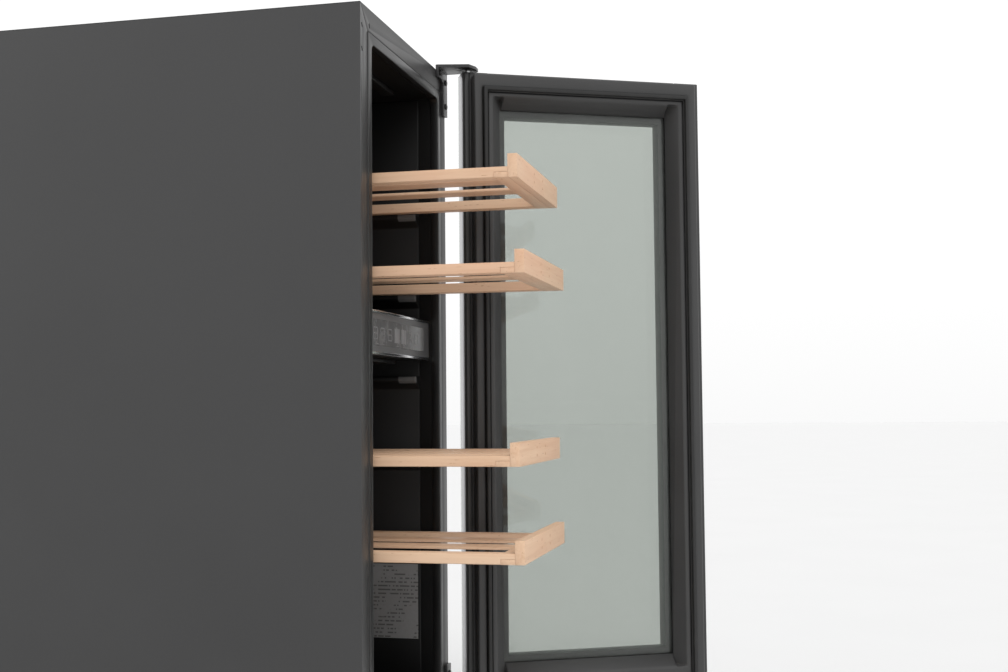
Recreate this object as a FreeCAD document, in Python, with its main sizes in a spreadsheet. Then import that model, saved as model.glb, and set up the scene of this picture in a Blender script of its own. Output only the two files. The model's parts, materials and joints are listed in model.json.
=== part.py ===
"""Built-in wine cooler, 30 cm class: cabinet, hinged glass door, slatted shelves, cold side and machine space.

Millimetres, +Z up, +X to the right seen from the front, +Y to the back.
The origin is the middle of the flat underside of the base plate, which the four feet screw into.
The model stands with its door open and its four shelves drawn out; every joint reads zero there.
"""
import FreeCAD, Part
import math
import os
import Sketcher

os.makedirs("parts", exist_ok=True)
doc = FreeCAD.newDocument("WineCooler")
sheet = doc.addObject("Spreadsheet::Sheet", "Sizes")
V = FreeCAD.Vector


class Size:
    """A length with the expression that makes it from the spreadsheet."""

    def __init__(self, value, text):
        self.value = float(value)
        self.text = text

    def __add__(self, other):
        other = size(other)
        return Size(self.value + other.value, "(%s + %s)" % (self.text, other.text))

    def __radd__(self, other):
        return size(other) + self

    def __sub__(self, other):
        other = size(other)
        return Size(self.value - other.value, "(%s - %s)" % (self.text, other.text))

    def __rsub__(self, other):
        return size(other) - self

    def __mul__(self, other):
        other = size(other)
        return Size(self.value * other.value, "(%s * %s)" % (self.text, other.text))

    def __rmul__(self, other):
        return size(other) * self

    def __truediv__(self, other):
        other = size(other)
        return Size(self.value / other.value, "(%s / %s)" % (self.text, other.text))

    def __neg__(self):
        return Size(-self.value, "(0 - %s)" % self.text)


def size(number):
    """A plain number as a Size; a Size passes through."""
    if isinstance(number, Size):
        return number
    return Size(number, repr(float(number)))


rows = []


def driving(name, number, note):
    """One row of the spreadsheet, and the Size that refers to it."""
    rows.append(name)
    row = len(rows)
    sheet.set("A%d" % row, name)
    sheet.set("B%d" % row, str(number))
    sheet.setAlias("B%d" % row, name)
    sheet.set("C%d" % row, note)
    return Size(number, "Sizes.%s" % name)


# cabinet
cab_width = driving("cab_width", 295, "outside width")
cab_height = driving("cab_height", 805, "base plate underside to top")
cab_depth = driving("cab_depth", 570, "front flange to back panel")
foot_drop = driving("foot_drop", 15, "feet below the base plate")
sheet_gauge = driving("sheet_gauge", 1.0, "steel sheet of the shell")
flange_gauge = driving("flange_gauge", 1.5, "hemmed front flange")
flange_side = driving("flange_side", 21, "front flange, sides")
flange_top = driving("flange_top", 23, "front flange, top and bottom")
lip_width = driving("lip_width", 11.3, "plastic frame round the opening")
lip_depth = driving("lip_depth", 8, "plastic frame, front to back")
opening_floor = driving("opening_floor", 117, "cavity floor")
liner_wall = driving("liner_wall", 2, "moulded liner wall")
liner_back = driving("liner_back", 203, "cavity back wall, from the middle")
foam_under = driving("foam_under", 95, "underside of the foam, over the machine space")
# zones
divider_low = driving("divider_low", 472, "underside of the wall between the zones")
divider_high = driving("divider_high", 516.5, "top of the wall between the zones")
fascia_back = driving("fascia_back", 11.2, "control panel behind the front flange")
duct_front = driving("duct_front", 178, "air duct cover, from the middle")
fan_bore = driving("fan_bore", 37, "radius of a fan opening")
fan_rim = driving("fan_rim", 4, "fan frame outside its opening")
fan_clear = driving("fan_clear", 2, "blade tip to the fan opening")
# racks
shelf_pitch = driving("shelf_pitch", 91.8, "spacing of the shelf places")
shelf_first = driving("shelf_first", 270.1, "lowest shelf place")
rib_reach = driving("rib_reach", 18, "rib out from the wall")
shelf_play = driving("shelf_play", 13.2, "shelf edge in from the cavity wall")
shelf_length = driving("shelf_length", 400, "shelf front to back")
shelf_gauge = driving("shelf_gauge", 10.5, "beech rack thickness")
front_tall = driving("front_tall", 22.6, "front board height")
front_gauge = driving("front_gauge", 9.5, "front board thickness")
slat_gauge = driving("slat_gauge", 3.2, "slat thickness")
slat_near = driving("slat_near", 17, "slat's near edge, from the middle of the shelf")
slat_width = driving("slat_width", 27, "slat width")
rail_width = driving("rail_width", 14, "side rail of a shelf")
cross_rail = driving("cross_rail", 14, "front and rear rail of a shelf")
# door
door_side_gap = driving("door_side_gap", 3.2, "door edge in from the cabinet side")
door_low = driving("door_low", 80, "door bottom edge")
door_top_gap = driving("door_top_gap", 1, "door top edge below the cabinet top")
steel_deep = driving("steel_deep", 26, "steel door frame with the front glass")
pane_gauge = driving("pane_gauge", 4, "glass pane")
ring_deep = driving("ring_deep", 18, "moulded inner door frame behind the steel")
door_gap = driving("door_gap", 7, "gasket space of the closed door")
stile = driving("stile", 44, "door edge to the glass opening")
sill = driving("sill", 51, "door bottom edge to the glass opening")
door_open = driving("door_open", 116.83, "door angle as it stands, from closed")
pivot_inset = driving("pivot_inset", 7.6, "hinge axis in from the door's edge")
pivot_ahead = driving("pivot_ahead", 31.1, "hinge axis ahead of the front flange")
pin_radius = driving("pin_radius", 3, "hinge pin")
pin_slack = driving("pin_slack", 0.05, "radial play of the hinge pin")
arm_gauge = driving("arm_gauge", 3.5, "hinge plate thickness")
arm_rise = driving("arm_rise", 1.5, "hinge arm above the shell top")

doc.recompute()

half_w = cab_width / 2
front_y = -cab_depth / 2
back_y = cab_depth / 2
open_half = half_w - flange_side - lip_width
open_top = cab_height - flange_top - (lip_width - 1)
seam_half = half_w - flange_side
seam_top = cab_height - flange_top
lip_back = front_y + lip_depth
shelf_half = open_half - shelf_play
door_width = cab_width - door_side_gap * 2
door_high = cab_height - door_top_gap

AXES = {"x": "YZ_Plane", "y": "XZ_Plane", "z": "XY_Plane"}
pieces = []


class Piece:
    """A PartDesign body whose sketches lie on its own origin planes."""

    def __init__(self, label):
        self.body = doc.addObject("PartDesign::Body", "Body_" + label)
        self.body.Label = label
        self.label = label
        self.count = 0
        pieces.append(self.body)

    def plane(self, axis):
        for feature in self.body.Origin.OriginFeatures:
            if feature.Role == AXES[axis]:
                return feature
        raise ValueError(axis)

    def sketch(self, axis, loops, offset):
        self.count += 1
        name = "Sketch_%s_%d" % (self.label, self.count)
        sk = self.body.newObject("Sketcher::SketchObject", name)
        sk.AttachmentSupport = (self.plane(axis), [""])
        sk.MapMode = "FlatFace"
        sk.AttachmentOffset = FreeCAD.Placement(V(0, 0, offset.value), FreeCAD.Rotation())
        sk.setExpression("AttachmentOffset.Base.z", offset.text)
        for loop in loops:
            if loop[0] == "circle":
                draw_circle(sk, loop[1], loop[2], loop[3])
            else:
                draw_polygon(sk, loop[1])
        return sk

    def span(self, axis, low, high):
        """Start and length along the plane's own normal, which is -Y on the XZ plane."""
        low = size(low)
        high = size(high)
        if axis == "y":
            return -high, high - low
        return low, high - low

    def pad(self, axis, loops, low, high):
        start, length = self.span(axis, low, high)
        sk = self.sketch(axis, loops, start)
        feature = self.body.newObject("PartDesign::Pad", "Pad_%s_%d" % (self.label, self.count))
        feature.Profile = sk
        feature.Length = length.value
        feature.setExpression("Length", length.text)
        self.body.Tip = feature
        self.last = feature
        return feature

    def cut(self, axis, loops, low, high):
        """Removes the loops between low and high; the pocket runs against the plane's normal."""
        doc.recompute()
        before = self.body.Shape.Volume
        start, length = self.span(axis, low, high)
        sk = self.sketch(axis, loops, start + length)
        feature = self.body.newObject("PartDesign::Pocket", "Pocket_%s_%d" % (self.label, self.count))
        feature.Profile = sk
        feature.Length = length.value
        feature.setExpression("Length", length.text)
        self.body.Tip = feature
        self.last = feature
        doc.recompute()
        if not self.body.Shape.Volume < before - 1e-3:
            raise RuntimeError("pocket removes nothing: %s %d" % (self.label, self.count))
        return feature

    def fillet(self, pick, radius):
        doc.recompute()
        names = []
        for index, edge in enumerate(self.last.Shape.Edges):
            if pick(edge):
                names.append("Edge%d" % (index + 1))
        if not names:
            raise RuntimeError("no edge to round: %s" % self.label)
        feature = self.body.newObject("PartDesign::Fillet", "Fillet_%s_%d" % (self.label, self.count))
        feature.Base = (self.last, names)
        radius = size(radius)
        feature.Radius = radius.value
        feature.setExpression("Radius", radius.text)
        self.body.Tip = feature
        self.last = feature
        return feature

    def ring_of(self, feature_list, axis_role, number):
        """Repeats features about one of the body's own axes."""
        pattern = self.body.newObject("PartDesign::PolarPattern", "Polar_%s" % self.label)
        pattern.Originals = feature_list
        for item in self.body.Origin.OriginFeatures:
            if item.Role == axis_role:
                pattern.Axis = (item, [""])
        pattern.Angle = 360
        pattern.Occurrences = number
        self.body.Tip = pattern
        self.last = pattern
        return pattern

    def row_of(self, feature_list, axis_role, length, number):
        """Repeats features in a straight row along one of the body's own axes."""
        pattern = self.body.newObject("PartDesign::LinearPattern", "Row_%s_%d" % (self.label, self.count))
        pattern.Originals = feature_list
        for item in self.body.Origin.OriginFeatures:
            if item.Role == axis_role:
                pattern.Direction = (item, [""])
        length = size(length)
        pattern.Length = length.value
        pattern.setExpression("Length", length.text)
        pattern.Occurrences = number
        self.body.Tip = pattern
        self.last = pattern
        return pattern

    def place(self, x, y, z, turn=None):
        """Moves the body; a turn is about +Z through the new place."""
        x = size(x)
        y = size(y)
        z = size(z)
        angle = size(0 if turn is None else turn)
        spin = FreeCAD.Rotation(V(0, 0, 1), angle.value)
        self.body.Placement = FreeCAD.Placement(V(x.value, y.value, z.value), spin)
        self.body.setExpression("Placement.Base.x", x.text)
        self.body.setExpression("Placement.Base.y", y.text)
        self.body.setExpression("Placement.Base.z", z.text)
        if turn is not None:
            self.body.setExpression("Placement.Rotation.Angle", angle.text)
        return self


def hold(sk, geometry, point, where, axis):
    """Fixes one coordinate of a sketch point by an expression, or on the axis if it is zero."""
    kind = "DistanceX" if axis == "x" else "DistanceY"
    if abs(where.value) < 1e-9:
        line = -2 if axis == "x" else -1
        sk.addConstraint(Sketcher.Constraint("PointOnObject", geometry, point, line))
        return
    index = sk.addConstraint(Sketcher.Constraint(kind, -1, 1, geometry, point, where.value))
    sk.setExpression("Constraints[%d]" % index, where.text)


def draw_polygon(sk, points):
    points = [(size(x), size(y)) for x, y in points]
    first = sk.GeometryCount
    total = len(points)
    for i in range(total):
        a = points[i]
        b = points[(i + 1) % total]
        line = Part.LineSegment(V(a[0].value, a[1].value, 0), V(b[0].value, b[1].value, 0))
        sk.addGeometry(line, False)
    for i in range(total):
        following = first + (i + 1) % total
        sk.addConstraint(Sketcher.Constraint("Coincident", first + i, 2, following, 1))
    for i in range(total):
        hold(sk, first + i, 1, points[i][0], "x")
        hold(sk, first + i, 1, points[i][1], "y")


def draw_circle(sk, x, y, radius):
    x = size(x)
    y = size(y)
    radius = size(radius)
    at = sk.GeometryCount
    sk.addGeometry(Part.Circle(V(x.value, y.value, 0), V(0, 0, 1), radius.value), False)
    hold(sk, at, 3, x, "x")
    hold(sk, at, 3, y, "y")
    index = sk.addConstraint(Sketcher.Constraint("Radius", at, radius.value))
    sk.setExpression("Constraints[%d]" % index, radius.text)


def rect(x0, y0, x1, y1):
    return ("poly", [(x0, y0), (x1, y0), (x1, y1), (x0, y1)])


def poly(points):
    return ("poly", points)


def circle(x, y, radius):
    return ("circle", x, y, radius)


def along_y(edge):
    """True for a straight edge that runs front to back."""
    a, b = edge.Vertexes[0].Point, edge.Vertexes[-1].Point
    return abs(a.x - b.x) < 1e-6 and abs(a.z - b.z) < 1e-6 and abs(a.y - b.y) > 1e-6


# ---------------------------------------------------------------- outer shell
base = Piece("base_plate")
base.pad("z", [rect(-half_w + sheet_gauge, front_y + 3, half_w - sheet_gauge, back_y - sheet_gauge)], 0, 2)
foot_x = half_w - 26
foot_y = back_y - 35
stud_hole = size(4.1)
base.cut("z", [circle(sx * foot_x, sy * foot_y, stud_hole) for sx in (-1, 1) for sy in (-1, 1)], 0, 2)

for side, name in ((-1, "side_panel_left"), (1, "side_panel_right")):
    panel = Piece(name)
    edge = side * half_w
    inner = side * (half_w - sheet_gauge)
    panel.pad("x", [rect(front_y, 0, back_y, cab_height - sheet_gauge)],
              edge if side < 0 else inner, inner if side < 0 else edge)
    panel.pad("y", [poly([
        (edge, 0), (side * seam_half, 0), (side * seam_half, seam_top),
        (side * (half_w - sheet_gauge), cab_height - sheet_gauge * 1.1 - 0.2),
        (edge, cab_height - sheet_gauge * 1.1 - 0.2)])], front_y, front_y + flange_gauge)
    if side < 0:
        for low in (757.5, 780.5):
            panel.cut("y", [poly([
                (edge + 3.2, low + 4.2), (edge + 5.2, low + 5.6),
                (edge + 7.2, low + 1.4), (edge + 5.2, low)])], front_y, front_y + flange_gauge)

top = Piece("top_panel")
top.pad("z", [rect(-half_w, front_y, half_w, back_y)], cab_height - sheet_gauge, cab_height)
top.pad("y", [poly([
    (-half_w + 1.4, cab_height - sheet_gauge), (half_w - 1.4, cab_height - sheet_gauge),
    (seam_half - 0.1, seam_top), (-seam_half + 0.1, seam_top)])], front_y, front_y + flange_gauge)
top.cut("y", [poly([
    (-seam_half + 4, cab_height - 15.5), (-seam_half + 6, cab_height - 14.1),
    (-seam_half + 8, cab_height - 18.3), (-seam_half + 6, cab_height - 19.7)])],
    front_y, front_y + flange_gauge)

back = Piece("back_panel")
back.pad("y", [rect(-half_w + sheet_gauge, 2, half_w - sheet_gauge, cab_height - sheet_gauge)],
         back_y - sheet_gauge, back_y)
inlet_x = size(-92)
back.cut("y", [rect(inlet_x - 14, 34, inlet_x + 14, 58)], back_y - sheet_gauge, back_y)
vent = back.cut("y", [rect(-30, 20, -27, 80)], back_y - sheet_gauge, back_y)
back.row_of([vent], "X_Axis", 110, 12)

rail_low = opening_floor - (lip_width - 1) - flange_top
rail = Piece("bottom_rail")
rail.pad("y", [rect(-seam_half, rail_low, seam_half, opening_floor - (lip_width - 1))],
         front_y, front_y + flange_gauge)
rail.pad("z", [rect(-seam_half, front_y, seam_half, front_y + 12)], rail_low, rail_low + 1.5)

grille = Piece("kick_grille")
grille.pad("y", [rect(-seam_half + 0.5, 2.3, seam_half - 0.5, rail_low - 0.5)], front_y + 4, front_y + 7)
slot = grille.cut("y", [rect(-seam_half + 12, 14, seam_half - 12, 19)], front_y + 4, front_y + 7)
grille.row_of([slot], "Z_Axis", 45, 6)

# ---------------------------------------------------------------- cavity
lip = Piece("opening_frame")
lip.pad("y", [
    rect(-seam_half + 0.4, opening_floor - (lip_width - 1) + 0.4, seam_half - 0.4, seam_top - 0.4),
    rect(-open_half, opening_floor, open_half, open_top)], front_y - 0.6, lip_back)
inner_limit = open_half.value + 0.5
lip.fillet(lambda e: along_y(e) and abs(e.Vertexes[0].Point.x) < inner_limit, 7)

tub = Piece("liner_tub")
tub.pad("y", [rect(-open_half - liner_wall, opening_floor - liner_wall,
                   open_half + liner_wall, open_top + liner_wall)], lip_back, liner_back + liner_wall)
tub.cut("y", [rect(-open_half, opening_floor, open_half, open_top)], lip_back, liner_back)

foam = Piece("foam_jacket")
foam.pad("y", [rect(-half_w + sheet_gauge, foam_under, half_w - sheet_gauge, cab_height - sheet_gauge)],
         lip_back, back_y - sheet_gauge)
foam.cut("y", [rect(-open_half - liner_wall, opening_floor - liner_wall,
                    open_half + liner_wall, open_top + liner_wall)], lip_back, liner_back + liner_wall)

strip_wall = size(2)
places = [shelf_first + shelf_pitch * k for k in range(5)]
for side, name in ((-1, "rack_strip_left"), (1, "rack_strip_right")):
    strip = Piece(name)
    wall_x = side * open_half
    skin_x = side * (open_half - strip_wall)
    strip.pad("x", [rect(front_y + 22, opening_floor + 2, duct_front - 4, open_top - 2)],
              wall_x if side < 0 else skin_x, skin_x if side < 0 else wall_x)
    ribs = strip.pad("y", [poly([
        (skin_x, shelf_first), (side * (open_half - rib_reach), shelf_first),
        (side * (open_half - rib_reach), shelf_first - 5), (skin_x, shelf_first - 14)])],
        front_y + 22, duct_front - 8)
    strip.row_of([ribs], "Z_Axis", shelf_pitch * 4, 5)

divider = Piece("zone_divider")
divider.pad("z", [rect(-open_half + strip_wall + 0.2, front_y + 24, open_half - strip_wall - 0.2, duct_front)],
            divider_low, divider_high)

fascia_y = front_y + fascia_back
fascia = Piece("control_fascia")
fascia.pad("y", [rect(-open_half + 0.3, divider_low, open_half - 0.3, divider_high)], fascia_y, fascia_y + 2.5)
fascia.pad("y", [rect(-open_half + 6, divider_low + 6, open_half - 6, divider_high - 6)],
           fascia_y + 2.5, front_y + 24)
trims = []
for low, name in ((divider_low, "fascia_trim_lower"), (divider_high - 3, "fascia_trim_upper")):
    strip = Piece(name)
    strip.pad("y", [rect(-open_half + 0.3, low, open_half - 0.3, low + 3)], fascia_y - 1.2, fascia_y)
touch = Piece("touch_glass")
touch.pad("y", [rect(-78, divider_low + 9, 92, divider_high - 9)], fascia_y - 0.8, fascia_y)

for low, high, zone in ((divider_high + 3, open_top - 3, "upper"), (opening_floor + 3, divider_low - 3, "lower")):
    middle = high - 62
    cover = Piece("duct_cover_" + zone)
    cover.pad("y", [rect(-open_half + 0.5, low, open_half - 0.5, high)], duct_front, duct_front + 3)
    cover.cut("y", [circle(0, middle, fan_bore)], duct_front, duct_front + 3)
    slit = cover.cut("y", [rect(-60, low + 18, 60, low + 21)], duct_front, duct_front + 3)
    cover.row_of([slit], "Z_Axis", 28, 5)
    frame = Piece("fan_frame_" + zone)
    fan_side = fan_bore + fan_rim
    frame.pad("y", [rect(-fan_side, middle - fan_side, fan_side, middle + fan_side), circle(0, middle, fan_bore)],
              duct_front + 3, duct_front + 18)
    frame.pad("y", [rect(-fan_bore - 1, middle - 3, fan_bore + 1, middle + 3)], duct_front + 15, duct_front + 18)
    frame.pad("y", [rect(-3, middle - fan_bore - 1, 3, middle + fan_bore + 1)], duct_front + 15, duct_front + 18)
    frame.pad("y", [circle(0, middle, 2)], duct_front + 5, duct_front + 15)
    rotor = Piece("fan_rotor_" + zone)
    rotor.pad("y", [circle(0, 0, 14), circle(0, 0, 2.05)], 0, 7)
    blade = rotor.pad("y", [poly([
        (13, -2), (fan_bore - fan_clear - 1, -8), (fan_bore - fan_clear, -1), (13, 2.2)])], 1, 6)
    rotor.ring_of([blade], "Y_Axis", 7)
    rotor.place(0, duct_front + 6.5, middle)
    cold = Piece("evaporator_" + zone)
    cold.pad("y", [rect(-95, low + 8, 95, low + 11)], duct_front + 6, duct_front + 22)
    plate = cold.pad("x", [rect(duct_front + 6, low + 8, duct_front + 22, middle - fan_side - 6)], -95, -93)
    cold.row_of([plate], "X_Axis", 188, 20)
    lamp = Piece("led_lamp_" + zone)
    lamp_z = open_top if zone == "upper" else divider_low
    lamp.pad("z", [rect(-70, front_y + 36, 70, front_y + 50)], lamp_z - 5, lamp_z)

plate = Piece("rating_label")
plate.pad("x", [rect(front_y + 25, 160, front_y + 78, 243)], open_half - strip_wall - 0.3, open_half - strip_wall)
plate.place(0, 0, 0)

# ---------------------------------------------------------------- machine space
compressor = Piece("compressor")
compressor.pad("x", [circle(150, 52, 36)], -70, 80)
compressor.fillet(lambda e: e.Curve.TypeId == "Part::GeomCircle" and e.Closed, 12)
for x in (-50, 50):
    compressor.pad("z", [rect(x - 6, 106, x + 6, 194)], 10, 24)
compressor.pad("z", [circle(60, 150, 7)], 80, 92)
mounts = Piece("compressor_grommets")
for x in (-50, 50):
    for y in (112, 188):
        mounts.pad("z", [circle(x, y, 6)], 2, 10)

condenser = Piece("condenser")
condenser.pad("y", [rect(-112, 8, 112, 10)], front_y + 16, front_y + 46)
fin = condenser.pad("x", [rect(front_y + 16, 8, front_y + 46, 86)], -112, -110.5)
condenser.row_of([fin], "X_Axis", 222.5, 28)
for z in (22, 47, 72):
    condenser.pad("x", [circle(front_y + 31, z, 4)], -112, 112)

cool_y = front_y + 48
cool_frame = Piece("condenser_fan_frame")
cool_side = fan_bore + fan_rim + 1
cool_mid = cool_side + 3
cool_frame.pad("y", [rect(-cool_side, 2, cool_side, cool_mid + cool_side + 1), circle(0, cool_mid, fan_bore)],
               cool_y, cool_y + 18)
cool_frame.pad("y", [rect(-fan_bore - 1, cool_mid - 3, fan_bore + 1, cool_mid + 3)], cool_y + 15, cool_y + 18)
cool_frame.pad("y", [rect(-3, cool_mid - fan_bore - 1, 3, cool_mid + fan_bore + 1)], cool_y + 15, cool_y + 18)
cool_frame.pad("y", [circle(0, cool_mid, 2)], cool_y + 5, cool_y + 15)
cool_rotor = Piece("condenser_fan_rotor")
cool_rotor.pad("y", [circle(0, 0, 14), circle(0, 0, 2.05)], 0, 7)
blade = cool_rotor.pad("y", [poly([
        (13, -2), (fan_bore - fan_clear - 1, -8), (fan_bore - fan_clear, -1), (13, 2.2)])], 1, 6)
cool_rotor.ring_of([blade], "Y_Axis", 7)
cool_rotor.place(0, cool_y + 6.5, cool_mid)

tray = Piece("drip_tray")
tray.pad("z", [rect(-110, -90, 110, 60)], 2, 26)
tray.cut("z", [rect(-108, -88, 108, 58)], 4, 26)
board = Piece("control_box")
board.pad("z", [rect(-half_w + 12.5, back_y - 175, -half_w + 57.5, back_y - 65)], 2, 70)
board.fillet(lambda e: abs(e.Vertexes[0].Point.z - e.Vertexes[-1].Point.z) > 1, 3)
inlet = Piece("power_inlet")
inlet.pad("y", [rect(inlet_x - 13.5, 34.5, inlet_x + 13.5, 57.5)], back_y - 25, back_y + 2)
inlet.cut("y", [rect(inlet_x - 10, 38, inlet_x + 10, 54)], back_y - 14, back_y + 2)

feet = Piece("levelling_feet")
for sx in (-1, 1):
    for sy in (-1, 1):
        feet.pad("z", [circle(sx * foot_x, sy * foot_y, 15)], -foot_drop, -foot_drop + 8)
        feet.pad("z", [circle(sx * foot_x, sy * foot_y, 4.05)], -foot_drop + 8, 14)

# ---------------------------------------------------------------- hinges
pivot_x = door_width / 2 - pivot_inset
pivot_y = front_y - pivot_ahead
plate_y = front_y - arm_gauge
arm_low = cab_height + arm_rise
arm_high = arm_low + arm_gauge
arm_left = pivot_x - 26
arm_right = half_w - 0.5
hinge_top = Piece("hinge_bracket_top")
hinge_top.pad("y", [poly([
    (arm_left, arm_high), (arm_right, arm_high), (arm_right, cab_height - 49),
    (half_w - 16.5, cab_height - 49), (half_w - 16.5, cab_height - 13),
    (arm_left + 12, cab_height - 9), (arm_left, cab_height - 9)])], plate_y, front_y)
hinge_top.pad("z", [poly([
    (arm_left, plate_y + 0.5), (arm_left + 8, pivot_y - 6), (pivot_x - 5, pivot_y - 11),
    (pivot_x + 6, pivot_y - 11), (arm_right, pivot_y - 5), (arm_right, plate_y + 0.5)])], arm_low, arm_high)
hinge_top.cut("z", [circle(pivot_x, pivot_y, pin_radius)], arm_low, arm_high)

low_high = door_low - arm_rise
low_low = low_high - arm_gauge
hinge_low = Piece("hinge_bracket_bottom")
hinge_low.pad("y", [rect(half_w - 16.5, low_low, arm_right, door_low + 48)], plate_y, front_y)
hinge_low.pad("z", [poly([
    (pivot_x - 12, plate_y + 0.5), (pivot_x - 12, pivot_y - 4), (pivot_x - 5, pivot_y - 11),
    (pivot_x + 6, pivot_y - 11), (arm_right, pivot_y - 5), (arm_right, plate_y + 0.5)])], low_low, low_high)
hinge_low.cut("z", [circle(pivot_x, pivot_y, pin_radius)], low_low, low_high)

bush_deep = size(22)
pin_top = Piece("hinge_pin_top")
pin_top.pad("z", [circle(pivot_x, pivot_y, pin_radius)], door_high - bush_deep + 2, arm_high)
pin_top.pad("z", [circle(pivot_x, pivot_y, pin_radius + 2)], arm_high, arm_high + 1.5)
pin_low = Piece("hinge_pin_bottom")
pin_low.pad("z", [circle(pivot_x, pivot_y, pin_radius)], low_low, door_low + bush_deep - 2)
pin_low.pad("z", [circle(pivot_x, pivot_y, pin_radius + 2)], low_low - 1.5, low_low)

screws = Piece("hinge_screws")
screw_x = half_w - 8.5
for x, z in ((screw_x, cab_height - 10), (screw_x, cab_height - 38), (arm_left + 7, cab_height - 3.2),
             (screw_x, door_low + 12), (screw_x, door_low + 38)):
    screws.pad("y", [circle(x, z, 3.4)], plate_y - 1.8, plate_y)

# ---------------------------------------------------------------- door, drawn about its hinge axis
edge_x = pivot_inset
free_x = pivot_inset - door_width
steel_back = pivot_ahead - door_gap - ring_deep
steel_front = steel_back - steel_deep
ring_back = steel_back + ring_deep
bar = size(30)


def hang(piece):
    """Puts a door piece on the hinge axis at the angle the door stands at."""
    return piece.place(pivot_x, pivot_y, 0, door_open)


outer_glass = Piece("door_glass_outer")
outer_glass.pad("y", [rect(free_x, door_low, edge_x, door_high)], steel_front, steel_front + pane_gauge)
hang(outer_glass)

channel = steel_front + pane_gauge
hinge_stile = Piece("door_stile_hinge")
hinge_stile.pad("z", [rect(edge_x - bar, channel, edge_x, steel_back)], door_low, door_high)
hinge_stile.cut("z", [circle(0, 0, pin_radius + 1.6)], door_high - bush_deep, door_high)
hinge_stile.cut("z", [circle(0, 0, pin_radius + 1.6)], door_low, door_low + bush_deep)
hang(hinge_stile)
free_stile = Piece("door_stile_free")
free_stile.pad("z", [rect(free_x, channel, free_x + bar, steel_back)], door_low, door_high)
hang(free_stile)
for low, name in ((door_high - bar, "door_rail_top"), (door_low, "door_rail_bottom")):
    cross = Piece(name)
    cross.pad("y", [rect(free_x + bar, low, edge_x - bar, low + bar)], channel, steel_back)
    hang(cross)

bushes = Piece("hinge_bushes")
for low in (door_high - bush_deep, door_low):
    bushes.pad("z", [circle(0, 0, pin_radius + 1.6), circle(0, 0, pin_radius + pin_slack)], low, low + bush_deep)
hang(bushes)

ring_inset = size(10)
ring_top = size(5)
slope = size(31)
ring = Piece("door_inner_frame")
ring.pad("y", [
    rect(free_x + ring_inset, door_low + ring_top, edge_x - ring_inset, door_high - ring_top),
    rect(free_x + stile, door_low + sill, edge_x - stile, door_high - stile)], steel_back, ring_back)
bevel = stile - slope
ring.cut("x", [poly([
    (steel_back, door_high - stile), (ring_back, door_high - stile + bevel), (ring_back, door_high - stile)])],
    free_x + stile, edge_x - stile)
ring.cut("x", [poly([
    (steel_back, door_low + sill), (ring_back, door_low + sill - bevel), (ring_back, door_low + sill)])],
    free_x + stile, edge_x - stile)
ring.cut("z", [poly([
    (edge_x - stile, steel_back), (edge_x - stile + bevel, ring_back), (edge_x - stile, ring_back)])],
    door_low + sill - bevel, door_high - stile + bevel)
ring.cut("z", [poly([
    (free_x + stile, steel_back), (free_x + stile - bevel, ring_back), (free_x + stile, ring_back)])],
    door_low + sill - bevel, door_high - stile + bevel)
groove = size(20)
groove_wide = size(6)
ring.cut("y", [
    rect(free_x + groove, door_low + groove, edge_x - groove, door_high - groove),
    rect(free_x + groove + groove_wide, door_low + groove + groove_wide,
         edge_x - groove - groove_wide, door_high - groove - groove_wide)], ring_back - 5, ring_back)
hang(ring)

gasket = Piece("door_gasket")
gasket.pad("y", [
    rect(free_x + groove + 0.4, door_low + groove + 0.4, edge_x - groove - 0.4, door_high - groove - 0.4),
    rect(free_x + groove + groove_wide - 0.4, door_low + groove + groove_wide - 0.4,
         edge_x - groove - groove_wide + 0.4, door_high - groove - groove_wide + 0.4)],
    ring_back - 5, ring_back)
bulge = size(1.5)
gasket.pad("y", [
    rect(free_x + groove + 0.4, door_low + groove + 0.4, edge_x - groove - 0.4, door_high - groove - 0.4),
    rect(free_x + groove + groove_wide - bulge, door_low + groove + groove_wide - bulge,
         edge_x - groove - groove_wide + bulge, door_high - groove - groove_wide + bulge)],
    ring_back, ring_back + door_gap - 1.8)
hang(gasket)

spacer = Piece("glass_spacer")
spacer.pad("y", [
    rect(free_x + bar + 1, door_low + bar + 1, edge_x - bar - 1, door_high - bar - 1),
    rect(free_x + stile + 6, door_low + sill + 6, edge_x - stile - 6, door_high - stile - 6)],
    channel, steel_back - pane_gauge)
hang(spacer)
inner_glass = Piece("door_glass_inner")
inner_glass.pad("y", [rect(free_x + bar + 1, door_low + bar + 1, edge_x - bar - 1, door_high - bar - 1)],
                steel_back - pane_gauge, steel_back)
hang(inner_glass)

# ---------------------------------------------------------------- shelves, drawn about their own front edge
shelf_drawn = [(4, 141), (3, 147), (1, 141), (0, 145)]
for number, (level, drawn) in enumerate(shelf_drawn):
    name = "shelf_%d" % (number + 1)
    out = driving("shelf_%s_out" % ("one", "two", "three", "four")[number], drawn, "drawn out past the front")
    doc.recompute()
    bottom = places[level] + 0.3
    board = Piece(name + "_front")
    board.pad("x", [rect(0, 0, front_gauge, front_tall)], -shelf_half, shelf_half)
    board.place(0, front_y - out, bottom)
    rack = Piece(name + "_rack")
    behind = front_gauge + cross_rail
    ahead = shelf_length - cross_rail
    rack.pad("z", [
        rect(-shelf_half, front_gauge, shelf_half, shelf_length),
        rect(-shelf_half + rail_width, behind, shelf_half - rail_width, ahead)], 0, shelf_gauge)
    for side in (-1, 1):
        near = side * slat_near
        far = side * (slat_near + slat_width)
        rack.pad("z", [rect(near if side > 0 else far, behind, far if side > 0 else near, ahead)],
                 shelf_gauge - slat_gauge, shelf_gauge)
    rack.place(0, front_y - out, bottom)

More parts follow.
